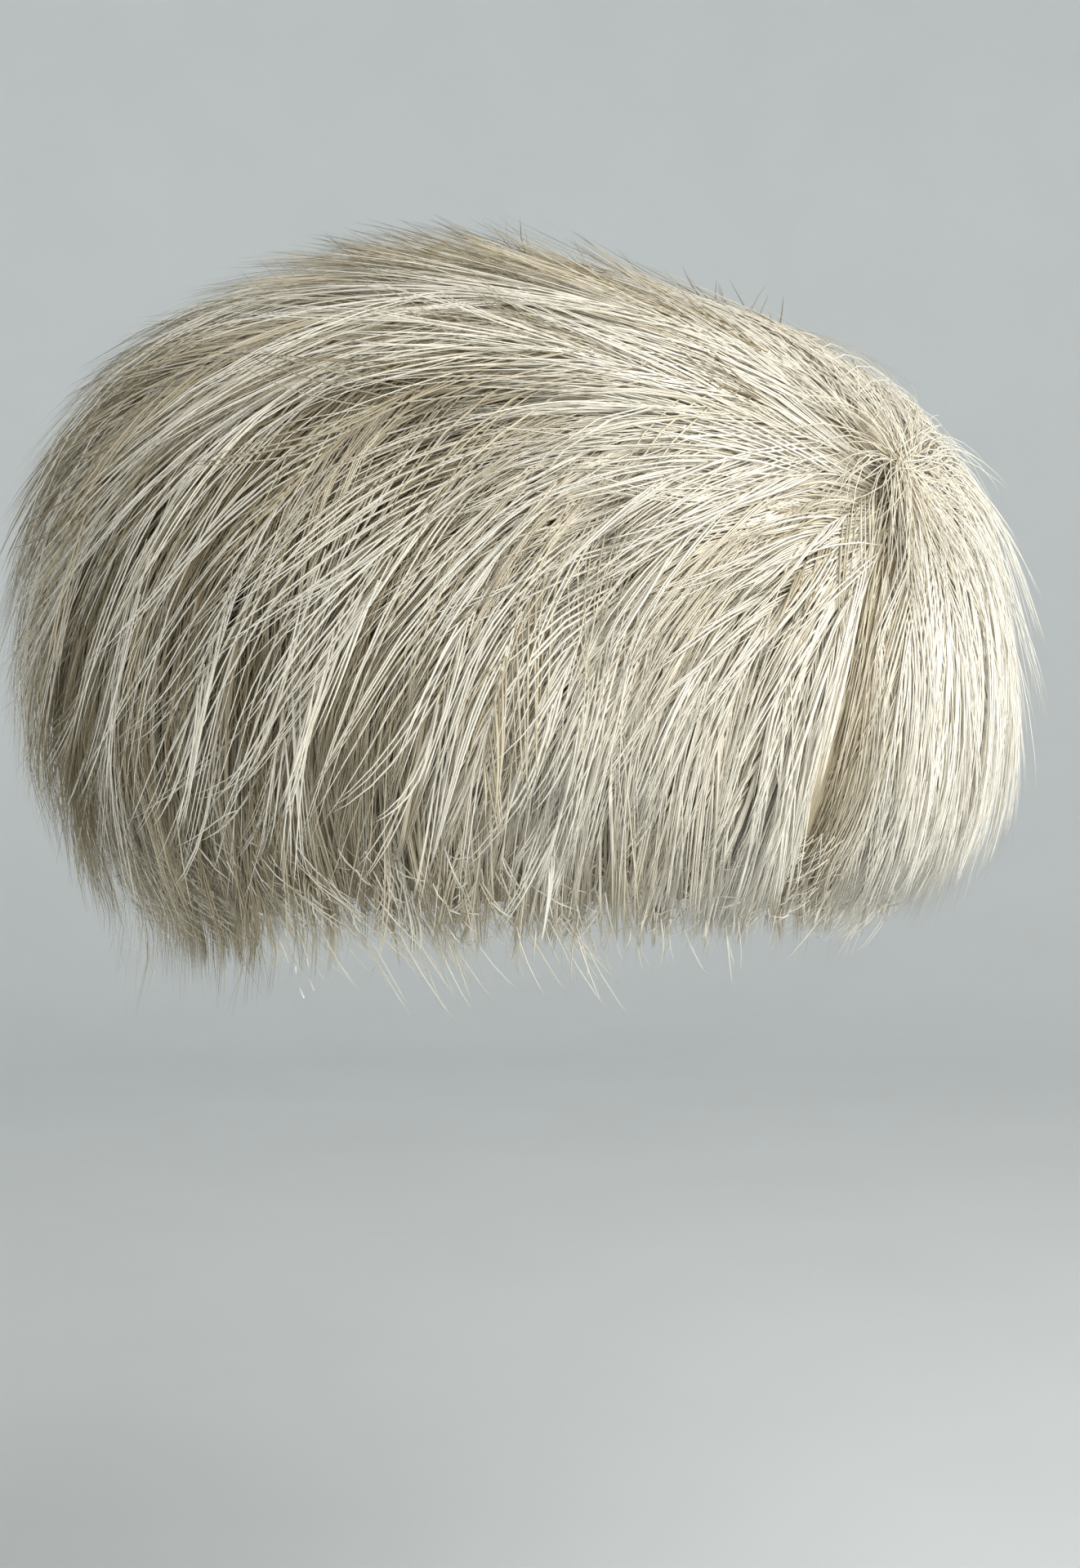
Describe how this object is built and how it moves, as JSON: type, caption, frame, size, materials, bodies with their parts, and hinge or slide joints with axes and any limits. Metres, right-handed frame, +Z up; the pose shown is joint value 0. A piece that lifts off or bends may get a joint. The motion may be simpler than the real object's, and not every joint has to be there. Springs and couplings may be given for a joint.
{
  "type": "feather hat",
  "caption": "Round bubble hat whose long cream feathers sweep from a whorl over one temple across the crown and hang as a fringe past the rim.",
  "frame": {"origin": "centre of the head opening, in the plane of the foundation's rim", "axes": "+Z up through the crown, -Y the hat's front, +X towards the whorl's side of the hat"},
  "size_m": [0.2529, 0.2793, 0.1862],
  "materials": {
    "net": "stiffened brown net over a woven base, matt",
    "down": "short beige down, matt",
    "roots": "ivory feather roots, matt",
    "feathers": "long cream feathers, silky",
    "hem_feathers": "shorter ivory feathers, silky"
  },
  "bodies": {
    "root": {"foundation": "net", "down_bed": "down", "whorl_tuft": "roots", "front_sweep_hem": "hem_feathers", "front_sweep_middle": "feathers", "front_sweep_upper": "feathers", "crown_sweep_hem": "hem_feathers", "crown_sweep_middle": "feathers", "crown_sweep_upper": "feathers", "back_fall_hem": "hem_feathers", "back_fall_middle": "feathers", "back_fall_upper": "feathers", "side_fall_hem": "hem_feathers", "side_fall_upper": "feathers"}
  },
  "joints": []
}
